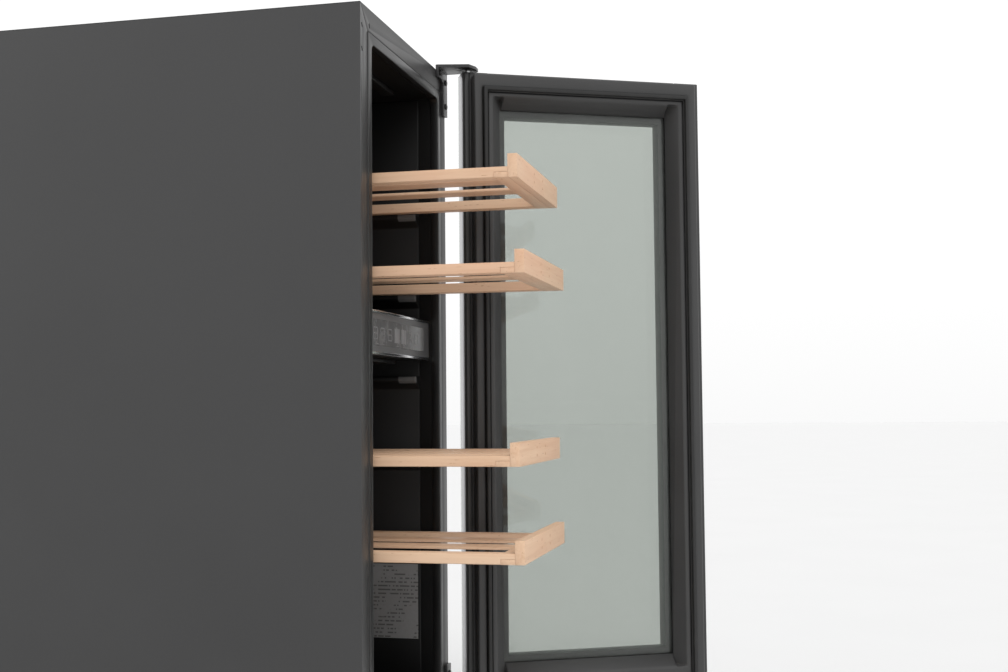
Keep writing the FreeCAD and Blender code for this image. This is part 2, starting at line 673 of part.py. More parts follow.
# ---------------------------------------------------------------- checks and files
doc.recompute()
faults = []
for item in doc.Objects:
    if "Invalid" in item.State or "Error" in item.State:
        faults.append("%s: %s" % (item.Label, item.State))
for body in pieces:
    if body.Shape.isNull() or not body.Shape.isValid() or body.Shape.Volume < 1:
        faults.append("%s has no sound shape" % body.Label)
if faults:
    raise RuntimeError("; ".join(faults))
if len(pieces) > 60:
    raise RuntimeError("too many pieces: %d" % len(pieces))
for body in pieces:
    body.Shape.exportStep("parts/%s.step" % body.Label)
print("pieces", len(pieces), "solids", sum(len(body.Shape.Solids) for body in pieces))
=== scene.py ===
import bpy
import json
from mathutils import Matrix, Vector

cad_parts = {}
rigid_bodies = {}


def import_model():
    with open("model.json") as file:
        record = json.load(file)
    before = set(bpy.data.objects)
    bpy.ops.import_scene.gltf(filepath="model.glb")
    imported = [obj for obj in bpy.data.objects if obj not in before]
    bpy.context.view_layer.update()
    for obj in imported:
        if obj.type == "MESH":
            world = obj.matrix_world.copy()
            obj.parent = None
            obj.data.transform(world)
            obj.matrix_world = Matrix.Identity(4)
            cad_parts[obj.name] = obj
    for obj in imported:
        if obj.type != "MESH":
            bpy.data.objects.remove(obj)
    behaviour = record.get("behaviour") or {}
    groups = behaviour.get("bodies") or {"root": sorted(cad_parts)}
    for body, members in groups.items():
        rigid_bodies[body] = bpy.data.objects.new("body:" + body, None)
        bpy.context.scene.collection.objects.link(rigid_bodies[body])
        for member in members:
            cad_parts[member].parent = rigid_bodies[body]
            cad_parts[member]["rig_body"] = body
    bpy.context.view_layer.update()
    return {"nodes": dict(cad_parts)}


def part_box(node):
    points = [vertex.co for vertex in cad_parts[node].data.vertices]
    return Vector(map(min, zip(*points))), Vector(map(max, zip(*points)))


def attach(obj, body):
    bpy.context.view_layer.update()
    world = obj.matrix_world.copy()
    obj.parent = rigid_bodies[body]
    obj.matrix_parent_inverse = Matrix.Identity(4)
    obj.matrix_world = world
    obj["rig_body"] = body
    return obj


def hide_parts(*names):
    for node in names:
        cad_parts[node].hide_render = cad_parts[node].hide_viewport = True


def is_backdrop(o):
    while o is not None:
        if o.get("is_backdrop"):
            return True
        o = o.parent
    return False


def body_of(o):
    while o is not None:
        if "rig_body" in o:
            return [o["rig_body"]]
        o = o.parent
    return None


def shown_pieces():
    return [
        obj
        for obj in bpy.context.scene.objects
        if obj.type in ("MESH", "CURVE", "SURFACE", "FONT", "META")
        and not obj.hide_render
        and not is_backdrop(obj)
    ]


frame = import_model()

import json
import math

import bmesh
import bpy
from mathutils import Matrix, Vector

bl_info = {
    "name": "Wine cooler looks",
    "version": (1, 0, 0),
    "blender": (4, 5, 0),
    "location": "View3D > Sidebar > Wine cooler",
    "description": "Shapes and finishes of a built-in wine cooler round its fixed frame",
    "category": "Object",
}


def corners(node):
    low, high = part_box(node)
    return Vector(low), Vector(high)


# Back of the door's steel bars behind the hinge axis, with the door shut
DOOR_BACK = 0.0061
# Ridges on that back, along the hinge: from, to and height, from the hinge axis
EDGE_RIDGES = ((0.0006, 0.0056, 0.0022), (-0.0022, -0.0004, 0.0012))
# Span of the black sheet in the groove, from the hinge axis: painted shade, where the bare back lies in
# shadow
GROOVE_SHADE_FROM, GROOVE_SHADE_TO = -0.0024, 0.0070

# Bevel on the ends of a wooden piece, and the length from which an edge is a long one
FINE_EDGE = 0.00025
LONG_EDGE = 0.1

# How far a printed sign stands off the touch field and reaches into it
SIGN_PROUD, SIGN_SUNK = 0.00015, 0.0001
# Places along the touch field from the cabinet's middle: x, or x and width
LARGE_DIGITS = (-0.0815, -0.0590, -0.0355)
SMALL_DIGITS = (0.0335, 0.0565)
KEYS = ((-0.0135, 0.0105), (-0.0020, 0.0050), (0.0095, 0.0105), (0.0210, 0.0050))
MARKS = ((-0.078, 0.012), (-0.060, 0.012), (-0.007, 0.008), (0.0155, 0.008))

SPACER_GREY = (0.175, 0.175, 0.175)

# Fitted to the photo's view: place in metres, and heading, tilt and roll in degrees
CAMERA_PLACE = (-1.29937, -0.68967, 0.41857)
CAMERA_ANGLES = (13.068, 3.128, -0.520)
LIGHT_DIRECTION = (0.62, 0.50, -1.05)

PIVOT = (corners("hinge_pin_top")[0] + corners("hinge_pin_top")[1]) / 2
DOOR_ANGLE = math.radians(116.83)
SHELL_LOW = corners("side_panel_left")[0]
HALF_WIDTH = -SHELL_LOW.x
TOP = corners("top_panel")[1].z


# ------------------------------------------------------------------ sizes and colours
def length(name, text, value):
    return bpy.props.FloatProperty(
        name=name, description=text, default=value, min=0.0, unit="LENGTH", precision=5)


def tint(name, text, value):
    return bpy.props.FloatVectorProperty(
        name=name, description=text, default=value, size=3, subtype="COLOR", min=0.0, max=1.0)


class CoolerShellSizes(bpy.types.PropertyGroup):
    hem: length("Hem", "Roundness of the folded sheet edges", 0.0006)
    screw: length("Panel screw", "Radius of the screw heads in the back panel", 0.0032)
    paint: tint("Paint", "Anthracite powder coat of the cabinet", (0.030, 0.030, 0.0305))
    zinc: tint("Zinc", "Galvanised sheet of the back and base", (0.42, 0.43, 0.44))


class CoolerCavitySizes(bpy.types.PropertyGroup):
    ease: length("Moulding edge", "Roundness of moulded edges in the cavity", 0.0012)
    plastic: tint("Liner", "Black moulded liner", (0.0014, 0.0014, 0.00145))
    rib_end: tint("Rib end", "Lighter front end of a shelf rib", (0.11, 0.11, 0.11))
    edging: tint("Edging", "Plastic edging round the opening", (0.008, 0.008, 0.0081))


class CoolerPanelSizes(bpy.types.PropertyGroup):
    digit_tall: length("Digit height", "Height of a seven-segment digit", 0.0125)
    digit_wide: length("Digit width", "Width of a seven-segment digit", 0.0135)
    stroke: length("Stroke", "Width of the printed strokes", 0.0011)
    face: tint("Fascia", "Grey face of the control panel", (0.155, 0.156, 0.158))
    print_grey: tint("Print", "Printed signs on the panel", (0.21, 0.21, 0.215))


class CoolerDoorSizes(bpy.types.PropertyGroup):
    ease: length("Frame edge", "Roundness of the door frame's edges", 0.0008)
    moulding_ease: length("Moulding edge", "Roundness of the inner frame's edges", 0.0022)
    lip: length("Gasket lip", "Radius of the gasket's soft lip", 0.0011)
    frame_metal: tint("Frame", "Aluminium of the door frame", (0.60, 0.60, 0.61))
    moulding: tint("Inner frame", "Dark moulded frame inside the door", (0.046, 0.046, 0.0462))
    glass_tint: tint("Glass", "Share of light that a face of glass lets through", (0.801, 0.816, 0.801))


class CoolerShelfSizes(bpy.types.PropertyGroup):
    ease: length("Edge", "Sanded edge of the wood", 0.0011)
    rail: length("Side rail", "Width of a side rail", 0.014)
    cross: length("Cross rail", "Width of the front and rear rails", 0.014)
    slat_near: length("Slat place", "Near edge of a slat from the middle", 0.017)
    slat_wide: length("Slat width", "Width of a slat", 0.027)
    slat_deep: length("Slat thickness", "Thickness of a slat", 0.0032)
    joint: length("Joint line", "Width of the line at a glued joint", 0.0002)
    dowel: length("Dowel", "Radius of the dowel ends in the front board", 0.0014)
    light: tint("Light wood", "Pale beech", (0.80, 0.56, 0.385))
    dark: tint("Dark wood", "Pinkish beech", (0.68, 0.425, 0.27))


class CoolerStageSizes(bpy.types.PropertyGroup):
    lens: bpy.props.FloatProperty(name="Lens", description="Focal length", default=46.393, min=1.0)
    backdrop: tint("Backdrop", "Colour of the floor and the room", (1.0, 1.0, 1.0))
    key: bpy.props.FloatProperty(
        name="Soft lamp", description="Strength of the soft light from the upper left", default=1.9)


GROUPS = {
    "cooler_shell": CoolerShellSizes,
    "cooler_cavity": CoolerCavitySizes,
    "cooler_panel": CoolerPanelSizes,
    "cooler_door": CoolerDoorSizes,
    "cooler_shelf": CoolerShelfSizes,
    "cooler_stage": CoolerStageSizes,
}


# ------------------------------------------------------------------ finishes
class Wire:
    """An output of a finish's node, with arithmetic that adds Math nodes."""

    def __init__(self, finish, socket):
        self.finish = finish
        self.socket = socket

    def sum(self, operation, first, second):
        made = self.finish.node("ShaderNodeMath", {"operation": operation}, {0: first, 1: second})
        return Wire(self.finish, made.outputs[0])

    def __add__(self, other):
        return self.sum("ADD", self, other)

    def __radd__(self, other):
        return self.sum("ADD", other, self)

    def __sub__(self, other):
        return self.sum("SUBTRACT", self, other)

    def __rsub__(self, other):
        return self.sum("SUBTRACT", other, self)

    def __mul__(self, other):
        return self.sum("MULTIPLY", self, other)

    def __rmul__(self, other):
        return self.sum("MULTIPLY", other, self)

    def __gt__(self, other):
        return self.sum("GREATER_THAN", self, other)

    def floor(self):
        return self.sum("FLOOR", self, 0.0)


class Finish:
    """One procedural material, built node by node."""

    def __init__(self, name):
        self.material = bpy.data.materials.new(name)
        self.material.use_nodes = True
        self.tree = self.material.node_tree
        self.tree.nodes.clear()
        self.place = Wire(self, self.node("ShaderNodeTexCoord").outputs["Object"])

    def node(self, kind, settings=None, inputs=None):
        made = self.tree.nodes.new(kind)
        for key, value in (settings or {}).items():
            if key == "stops":
                ramp = made.color_ramp
                ramp.elements[0].position, ramp.elements[0].color = value[0]
                ramp.elements[1].position, ramp.elements[1].color = value[-1]
                for position, colour in value[1:-1]:
                    ramp.elements.new(position).color = colour
            else:
                setattr(made, key, value)
        for key, value in (inputs or {}).items():
            if isinstance(value, Wire):
                self.tree.links.new(value.socket, made.inputs[key])
            else:
                made.inputs[key].default_value = value
        return made

    def stretched(self, x, y, z):
        """Object coordinates times a scale for each direction."""
        made = self.node("ShaderNodeMapping", {"vector_type": "POINT"}, {0: self.place, 3: (x, y, z)})
        return Wire(self, made.outputs[0])

    def noise(self, where, scale, detail=2.0, rough=0.5, warp=0.0):
        made = self.node("ShaderNodeTexNoise", {}, {
            "Vector": where, "Scale": scale, "Detail": detail, "Roughness": rough, "Distortion": warp})
        return Wire(self, made.outputs["Fac"])

    def cells(self, where, scale, feature="F1"):
        made = self.node("ShaderNodeTexVoronoi", {"feature": feature}, {"Vector": where, "Scale": scale})
        return Wire(self, made.outputs["Distance"])

    def remap(self, value, low, high, to_low=0.0, to_high=1.0):
        made = self.node("ShaderNodeMapRange", {"clamp": True}, {
            0: value, 1: low, 2: high, 3: to_low, 4: to_high})
        return Wire(self, made.outputs[0])

    def mix(self, amount, first, second):
        made = self.node("ShaderNodeMix", {"data_type": "RGBA"}, {
            0: amount, 6: opaque(first), 7: opaque(second)})
        return Wire(self, made.outputs[2])

    def parts(self, vector):
        made = self.node("ShaderNodeSeparateXYZ", {}, {0: vector})
        return [Wire(self, made.outputs[k]) for k in range(3)]

    def bump(self, height, strength, distance):
        made = self.node("ShaderNodeBump", {}, {"Strength": strength, "Distance": distance, "Height": height})
        return Wire(self, made.outputs[0])

    def surface(self, **values):
        """Ends the finish in one Principled surface."""
        body = self.node("ShaderNodeBsdfPrincipled", {}, {
            key.replace("_", " "): value for key, value in values.items()})
        self.node("ShaderNodeOutputMaterial", {}, {"Surface": Wire(self, body.outputs[0])})
        return self.material


def opaque(colour):
    if isinstance(colour, Wire) or len(colour) == 4:
        return colour
    return (*colour, 1.0)


def dimmed(colour, by):
    return tuple(part * by for part in colour)


MADE = {}


def kept(maker):
    """Makes a finish once and hands out the same one after that."""
    def give(*sizes):
        key = (maker.__name__, *[str(size) for size in sizes])
        if key not in MADE:
            MADE[key] = maker(*sizes)
        return MADE[key]
    return give


@kept
def powder_coat():
    shell = bpy.context.scene.cooler_shell
    f = Finish("powder_coat")
    peel = f.noise(f.place, 620.0, 2.0, 0.5)
    speck = f.noise(f.place, 2600.0, 1.0, 0.5)
    cloud = f.noise(f.place, 5.5, 3.0, 0.55)
    z = f.parts(f.place)[2]
    rub = f.remap(f.noise(f.stretched(60.0, 60.0, 6.0), 3.0, 5.0, 0.65), 0.62, 0.78)
    low = f.remap(z, 0.0, 0.35, 1.0, 0.0)
    tone = f.remap(speck + cloud * 0.6, 0.55, 1.05)
    colour = f.mix(tone, dimmed(shell.paint, 0.82), dimmed(shell.paint, 1.16))
    colour = f.mix(rub * low * 0.25, colour, dimmed(shell.paint, 1.9))
    rough = f.remap(cloud, 0.3, 0.7, 0.36, 0.44) + rub * 0.06
    return f.surface(Base_Color=colour, Roughness=rough, Metallic=0.0, Coat_Weight=0.0,
                     Normal=f.bump(peel * 0.8 + speck * 0.2, 0.10, 0.0004), IOR=1.56)


@kept
def galvanised_sheet():
    shell = bpy.context.scene.cooler_shell
    f = Finish("galvanised_sheet")
    spangle = f.node("ShaderNodeTexVoronoi", {"feature": "F1"}, {"Vector": f.place, "Scale": 130.0})
    grain = Wire(f, spangle.outputs["Color"])
    flake = f.parts(grain)[0]
    streak = f.noise(f.stretched(4.0, 4.0, 40.0), 5.0, 3.0)
    colour = f.mix(flake * 0.55 + streak * 0.3, dimmed(shell.zinc, 0.62), dimmed(shell.zinc, 1.05))
    rough = f.remap(flake, 0.0, 1.0, 0.34, 0.55)
    return f.surface(Base_Color=colour, Roughness=rough, Metallic=1.0,
                     Normal=f.bump(flake, 0.06, 0.0003))


@kept
def moulded_black():
    f = Finish("moulded_black")
    cavity = bpy.context.scene.cooler_cavity
    grain = f.noise(f.place, 1700.0, 2.0, 0.6)
    cloud = f.noise(f.place, 9.0, 3.0)
    haze = f.remap(f.noise(f.stretched(12.0, 12.0, 3.0), 4.0, 4.0, 0.6), 0.5, 0.8)
    colour = f.mix(f.remap(cloud + haze * 0.4, 0.4, 1.1), cavity.plastic, dimmed(cavity.plastic, 1.8))
    rough = f.remap(cloud, 0.3, 0.7, 0.42, 0.52) + grain * 0.05
    return f.surface(Base_Color=colour, Roughness=rough, IOR=1.38,
                     Normal=f.bump(grain, 0.12, 0.0003))


@kept
def rack_plastic():
    """Black rack strip; the front ends of its ribs are lighter."""
    f = Finish("rack_plastic")
    cavity = bpy.context.scene.cooler_cavity
    low = corners("rack_strip_right")[0]
    grain = f.noise(f.place, 1700.0, 2.0, 0.6)
    x, y = f.parts(f.place)[:2]
    ahead = f.remap(y, low.y + 0.0195, low.y + 0.0205, 1.0, 0.0)
    inner = f.remap(x * x, (low.x + 0.004) ** 2, (low.x + 0.005) ** 2, 1.0, 0.0)
    colour = f.mix(ahead * inner, dimmed(cavity.plastic, 1.3), cavity.rib_end)
    return f.surface(Base_Color=colour, Roughness=0.46 + grain * 0.05, IOR=1.40,
                     Normal=f.bump(grain, 0.12, 0.0003))


@kept
def edging_black():
    f = Finish("edging_black")
    cavity = bpy.context.scene.cooler_cavity
    grain = f.noise(f.place, 1400.0, 2.0, 0.6)
    cloud = f.noise(f.place, 14.0, 3.0)
    colour = f.mix(cloud, dimmed(cavity.edging, 0.8), dimmed(cavity.edging, 1.25))
    return f.surface(Base_Color=colour, Roughness=f.remap(cloud, 0.3, 0.7, 0.30, 0.38), IOR=1.5,
                     Normal=f.bump(grain, 0.08, 0.0003))


@kept
def grained_plastic(name, colour, rough):
    f = Finish(name)
    grain = f.noise(f.place, 1500.0, 2.0, 0.6)
    cloud = f.noise(f.place, 20.0, 3.0)
    tone = f.mix(f.remap(grain * 0.4 + cloud, 0.4, 1.0), dimmed(colour, 0.82), dimmed(colour, 1.18))
    return f.surface(Base_Color=tone, Roughness=f.remap(cloud, 0.3, 0.7, rough - 0.05, rough + 0.06),
                     Normal=f.bump(grain, 0.10, 0.0003))


@kept
def fascia_face():
    f = Finish("fascia_face")
    panel = bpy.context.scene.cooler_panel
    lines = f.noise(f.stretched(14.0, 900.0, 900.0), 1.0, 2.0)
    tone = f.remap(lines, 0.25, 0.75)
    colour = f.mix(tone, dimmed(panel.face, 0.88), dimmed(panel.face, 1.12))
    return f.surface(Base_Color=colour, Roughness=f.remap(lines, 0.2, 0.8, 0.34, 0.44), Metallic=0.35,
                     Normal=f.bump(lines, 0.04, 0.0002))


@kept
def printed_sign():
    f = Finish("printed_sign")
    panel = bpy.context.scene.cooler_panel
    grain = f.noise(f.place, 2200.0, 2.0)
    colour = f.mix(grain, dimmed(panel.print_grey, 0.85), dimmed(panel.print_grey, 1.1))
    # The emission is painted glow: these signs are print, not lamps, yet they shine a little.
    return f.surface(Base_Color=colour, Roughness=f.remap(grain, 0.3, 0.7, 0.42, 0.55),
                     Emission_Color=colour, Emission_Strength=0.10)


@kept
def bright_strip():
    f = Finish("bright_strip")
    hair = f.noise(f.stretched(10.0, 1500.0, 1500.0), 1.0, 3.0)
    colour = f.mix(hair, (0.66, 0.66, 0.67), (0.82, 0.82, 0.83))
    return f.surface(Base_Color=colour, Roughness=f.remap(hair, 0.25, 0.75, 0.10, 0.22), Metallic=1.0,
                     Normal=f.bump(hair, 0.05, 0.0001))


@kept
def smoked_touch():
    f = Finish("smoked_touch")
    panel = bpy.context.scene.cooler_panel
    smear = f.remap(f.noise(f.stretched(60.0, 60.0, 30.0), 1.2, 4.0, 0.6, 0.4), 0.42, 0.75)
    colour = f.mix(smear, dimmed(panel.face, 0.84), dimmed(panel.face, 0.98))
    return f.surface(Base_Color=colour, Roughness=0.20 + smear * 0.16, IOR=1.5, Metallic=0.15)


@kept
def door_metal(along):
    """Brushed aluminium; the scratches run along the bar."""
    f = Finish("door_metal_" + along)
    door = bpy.context.scene.cooler_door
    scale = (1300.0, 1300.0, 7.0) if along == "z" else (26.0, 13.0, 1300.0)
    hair = f.noise(f.stretched(*scale), 1.0, 4.0, 0.6)
    cloud = f.noise(f.place, 7.0, 3.0)
    colour = f.mix(f.remap(hair * 0.7 + cloud * 0.3, 0.3, 0.7), dimmed(door.frame_metal, 0.80),
                   dimmed(door.frame_metal, 1.12))
    return f.surface(Base_Color=colour, Roughness=f.remap(hair, 0.25, 0.75, 0.30, 0.46), Metallic=1.0,
                     Normal=f.bump(hair, 0.08, 0.0002))


@kept
def inner_moulding():
    f = Finish("inner_moulding")
    door = bpy.context.scene.cooler_door
    grain = f.noise(f.place, 1500.0, 2.0, 0.6)
    cloud = f.noise(f.place, 6.0, 3.0)
    wipe = f.remap(f.noise(f.stretched(20.0, 20.0, 3.0), 3.0, 4.0, 0.6), 0.55, 0.8)
    colour = f.mix(f.remap(cloud + grain * 0.15, 0.4, 0.8), dimmed(door.moulding, 0.88),
                   dimmed(door.moulding, 1.12))
    rough = f.remap(cloud, 0.3, 0.7, 0.40, 0.48) + wipe * 0.05
    return f.surface(Base_Color=colour, Roughness=rough, IOR=1.48, Normal=f.bump(grain, 0.10, 0.0003))


@kept
def gasket_rubber():
    f = Finish("gasket_rubber")
    grain = f.noise(f.place, 1100.0, 3.0, 0.6)
    dust = f.remap(f.noise(f.place, 35.0, 4.0, 0.6), 0.55, 0.8)
    colour = f.mix(grain * 0.5 + dust * 0.5, (0.011, 0.011, 0.011), (0.034, 0.034, 0.034))
    return f.surface(Base_Color=colour, Roughness=f.remap(grain, 0.3, 0.7, 0.55, 0.68),
                     Normal=f.bump(grain, 0.15, 0.0003))


@kept
def clear_pane():
    """Tinted see-through pane with a mirror sheen that grows at a slant."""
    f = Finish("clear_pane")
    door = bpy.context.scene.cooler_door
    wipe = f.noise(f.stretched(9.0, 9.0, 2.2), 2.0, 4.0, 0.6, 0.3)
    haze = f.remap(wipe, 0.5, 0.85)
    through = f.node("ShaderNodeBsdfTransparent", {}, {0: opaque(door.glass_tint)})
    sheen = f.node("ShaderNodeBsdfPrincipled", {}, {
        "Base Color": f.mix(haze, (0.90, 0.93, 0.90), (0.96, 0.98, 0.96)), "Metallic": 1.0,
        "Roughness": f.remap(wipe, 0.3, 0.8, 0.015, 0.05)})
    edge = f.node("ShaderNodeFresnel", {}, {"IOR": 1.5})
    both = f.node("ShaderNodeMixShader", {}, {
        0: Wire(f, edge.outputs[0]) + haze * 0.004,
        1: Wire(f, through.outputs[0]),
        2: Wire(f, sheen.outputs[0])})
    f.node("ShaderNodeOutputMaterial", {}, {"Surface": Wire(f, both.outputs[0])})
    return f.material


@kept
def beech(grain_axis, number):
    """Oiled beech whose grain runs along x or y; each slat has its own shade."""
    f = Finish("beech_%s_%d" % (grain_axis, number))
    shelf = bpy.context.scene.cooler_shelf
    x, y = f.parts(f.place)[:2]
    across = x if grain_axis == "y" else y
    slat = (across * 18.75 + 0.5).floor()
    offset = slat * 3.7 + number * 11.3
    moved = f.node("ShaderNodeCombineXYZ", {}, {0: offset, 1: offset * 0.7, 2: offset * 1.3})
    if grain_axis == "y":
        rings_at, fleck_at, fine_at = (30.0, 1.6, 30.0), (900.0, 90.0, 900.0), (420.0, 10.0, 420.0)
    else:
        rings_at, fleck_at, fine_at = (1.6, 30.0, 30.0), (90.0, 900.0, 900.0), (10.0, 420.0, 420.0)

    def shifted(scale):
        added = f.node("ShaderNodeVectorMath", {"operation": "ADD"}, {
            0: f.stretched(*scale), 1: Wire(f, moved.outputs[0])})
        return Wire(f, added.outputs[0])

    rings = f.noise(shifted(rings_at), 1.6, 4.0, 0.55, 0.8)
    band = f.remap(f.noise(shifted(rings_at), 5.0, 3.0, 0.5, 1.2), 0.35, 0.65)
    fleck = f.remap(f.cells(shifted(fleck_at), 0.42), 0.10, 0.24, 1.0, 0.0)
    thin = f.remap(f.noise(f.place, 260.0, 2.0), 0.45, 0.6)
    fibre = f.noise(shifted(fine_at), 1.0, 3.0, 0.6)
    blush = f.noise(f.place, 7.0, 2.0)
    tone = f.remap(rings * 0.75 + band * 0.18 + fibre * 0.20, 0.35, 0.85)
    colour = f.mix(tone, shelf.light, shelf.dark)
    colour = f.mix(f.remap(blush, 0.45, 0.7) * 0.35, colour, (0.80, 0.46, 0.31))
    colour = f.mix(fleck * thin * 0.55, colour, (0.42, 0.215, 0.115))
    knot = f.remap(f.cells(f.stretched(*((5.0, 11.0, 5.0) if grain_axis == "x" else (11.0, 5.0, 5.0))), 1.0),
                   0.02, 0.045, 1.0, 0.0)
    colour = f.mix(knot * 0.6, colour, (0.36, 0.16, 0.08))
    rough = f.remap(fibre, 0.25, 0.75, 0.42, 0.56) + fleck * 0.05
    return f.surface(Base_Color=colour, Roughness=rough, IOR=1.45,
                     Normal=f.bump(fibre * 0.8 - fleck * thin * 0.5, 0.10, 0.0004))


@kept
def end_dowel():
    f = Finish("end_dowel")
    pores = f.cells(f.place, 3200.0)
    rays = f.noise(f.place, 900.0, 2.0)
    colour = f.mix(f.remap(pores + rays, 0.5, 1.3), (0.50, 0.27, 0.15), (0.70, 0.44, 0.28))
    return f.surface(Base_Color=colour, Roughness=f.remap(rays, 0.3, 0.7, 0.5, 0.65),
                     Normal=f.bump(pores, 0.15, 0.0002))


@kept
def black_steel():
    f = Finish("black_steel")
    peel = f.noise(f.place, 900.0, 2.0)
    cloud = f.noise(f.place, 30.0, 3.0)
    worn = f.remap(f.noise(f.place, 120.0, 4.0, 0.7), 0.66, 0.74)
    colour = f.mix(cloud, (0.010, 0.010, 0.0105), (0.022, 0.022, 0.023))
    colour = f.mix(worn * 0.5, colour, (0.10, 0.10, 0.10))
    return f.surface(Base_Color=colour, Roughness=f.remap(cloud, 0.3, 0.7, 0.30, 0.42), IOR=1.55,
                     Normal=f.bump(peel, 0.12, 0.0003))


@kept
def plated_steel():
    f = Finish("plated_steel")
    hair = f.noise(f.place, 800.0, 3.0, 0.6)
    cloud = f.noise(f.place, 60.0, 3.0)
    colour = f.mix(hair * 0.5 + cloud * 0.5, (0.40, 0.40, 0.40), (0.66, 0.66, 0.66))
    return f.surface(Base_Color=colour, Roughness=f.remap(hair, 0.3, 0.7, 0.22, 0.38), Metallic=1.0,
                     Normal=f.bump(hair, 0.08, 0.0002))


@kept
def lamp_lens():
    f = Finish("lamp_lens")
    ribs = f.node("ShaderNodeTexWave", {"wave_type": "BANDS", "bands_direction": "X"}, {
        "Vector": f.place, "Scale": 130.0})
    rib = Wire(f, ribs.outputs["Fac"])
    colour = f.mix(rib, (0.004, 0.004, 0.004), (0.010, 0.010, 0.010))
    return f.surface(Base_Color=colour, Roughness=f.remap(rib, 0.0, 1.0, 0.25, 0.4),
                     Normal=f.bump(rib, 0.2, 0.0004))


@kept
def label_print():
    """Plain data label: rows of grey bars in patches, with nothing to read."""
    f = Finish("label_print")
    y, z = f.parts(f.place)[1:]
    row = ((z * 230.0) - (z * 230.0).floor())
    line = f.remap(row, 0.34, 0.40, 1.0, 0.0)
    column = (y * 620.0).floor()
    which = (z * 230.0).floor()
    seed = f.node("ShaderNodeCombineXYZ", {}, {0: column, 1: which, 2: 0.0})
    dice = f.node("ShaderNodeTexWhiteNoise", {"noise_dimensions": "3D"}, {0: Wire(f, seed.outputs[0])})
    inked = Wire(f, dice.outputs["Value"]) > 0.42
    blocks = f.noise(f.stretched(1.0, 46.0, 34.0), 1.0, 0.0)
    field = f.remap(blocks, 0.44, 0.46)
    ink = line * inked * field
    paper = f.noise(f.place, 300.0, 3.0)
    white = f.mix(paper, (0.22, 0.22, 0.22), (0.27, 0.27, 0.27))
    colour = f.mix(ink * 0.75, white, (0.05, 0.05, 0.05))
    return f.surface(Base_Color=colour, Roughness=f.remap(paper, 0.3, 0.7, 0.35, 0.5),
                     Normal=f.bump(paper, 0.05, 0.0002))


@kept
def foam_block():
    f = Finish("foam_block")
    cell = f.cells(f.place, 520.0)
    cloud = f.noise(f.place, 24.0, 3.0)
    colour = f.mix(f.remap(cell + cloud * 0.5, 0.2, 0.9), (0.62, 0.53, 0.30), (0.80, 0.72, 0.48))
    return f.surface(Base_Color=colour, Roughness=f.remap(cloud, 0.3, 0.7, 0.8, 0.95),
                     Normal=f.bump(cell, 0.4, 0.0008))


# ------------------------------------------------------------------ shaping
def only(piece):
    """Selects one piece and nothing else, ready for an operator."""
    if bpy.context.mode != "OBJECT":
        bpy.ops.object.mode_set(mode="OBJECT")
    bpy.ops.object.select_all(action="DESELECT")
    piece.select_set(True)
    bpy.context.view_layer.objects.active = piece


def settle(piece):
    """Puts a piece's place into its mesh."""
    only(piece)
    bpy.ops.object.transform_apply(location=True, rotation=True, scale=True)
    return piece


def pick(piece, wanted):
    """Selects the faces of the piece being edited for which wanted(face) is true."""
    mesh = bmesh.from_edit_mesh(piece.data)
    for vert in mesh.verts:
        vert.select = False
    for edge in mesh.edges:
        edge.select = False
    for face in mesh.faces:
        face.select = False
    for face in mesh.faces:
        if wanted(face):
            face.select_set(True)
    bmesh.update_edit_mesh(piece.data)


def rounded(piece, width, segments=2, angle=30.0):
    only(piece)
    ease = piece.modifiers.new("Edge", "BEVEL")
    ease.width = width
    ease.segments = segments
    ease.limit_method = "ANGLE"
    ease.angle_limit = math.radians(angle)
    ease.use_clamp_overlap = True
    ease.harden_normals = False
    bpy.ops.object.modifier_apply(modifier=ease.name)
    bpy.ops.object.shade_smooth_by_angle(angle=math.radians(40.0))
    return piece


def sanded(piece, width, fine, longer_than):
    """Rounds the long edges of a wooden piece widely and its ends a little."""
    shape = bmesh.new()
    shape.from_mesh(piece.data)
    layer = shape.edges.layers.float.new("bevel_weight_edge")
    for edge in shape.edges:
        if len(edge.link_faces) == 2 and edge.calc_face_angle() > math.radians(30.0):
            edge[layer] = 1.0 if edge.calc_length() > longer_than else fine / width
    shape.to_mesh(piece.data)
    shape.free()
    only(piece)
    ease = piece.modifiers.new("Edge", "BEVEL")
    ease.width = width
    ease.segments = 3
    ease.limit_method = "WEIGHT"
    bpy.ops.object.modifier_apply(modifier=ease.name)
    bpy.ops.object.shade_smooth_by_angle(angle=math.radians(40.0))
    return piece


def carved(piece, tool):
    """Takes the tool's shape out of a piece."""
    only(piece)
    cut = piece.modifiers.new("Cut", "BOOLEAN")
    cut.operation = "DIFFERENCE"
    cut.solver = "EXACT"
    cut.object = tool
    bpy.ops.object.modifier_apply(modifier=cut.name)
    bpy.data.objects.remove(tool, do_unlink=True)
    return piece


def block(name, low, high):
    """A block between two corners, in metres, its place in its mesh."""
    low, high = Vector(low), Vector(high)
    bpy.ops.object.select_all(action="DESELECT")
    bpy.ops.mesh.primitive_cube_add(size=1.0, location=(low + high) / 2)
    piece = bpy.context.active_object
    piece.name = name
    piece.data.name = name
    piece.scale = high - low
    return settle(piece)


def disc(name, centre, radius, deep, facing="y", sides=24):
    bpy.ops.object.select_all(action="DESELECT")
    turn = {"y": (math.pi / 2, 0, 0), "x": (0, math.pi / 2, 0), "z": (0, 0, 0)}[facing]
    bpy.ops.mesh.primitive_cylinder_add(
        vertices=sides, radius=radius, depth=deep, location=centre, rotation=turn)
    piece = bpy.context.active_object
    piece.name = name
    piece.data.name = name
    return settle(piece)


def joined(name, pieces):
    only(pieces[0])
    for piece in pieces:
        piece.select_set(True)
    bpy.context.view_layer.objects.active = pieces[0]
    if len(pieces) > 1:
        bpy.ops.object.join()
    whole = bpy.context.active_object
    whole.name = name
    whole.data.name = name
    return whole


def dressed(piece, *finishes):
    piece.data.materials.clear()
    for finish in finishes:
        piece.data.materials.append(finish)
    return piece


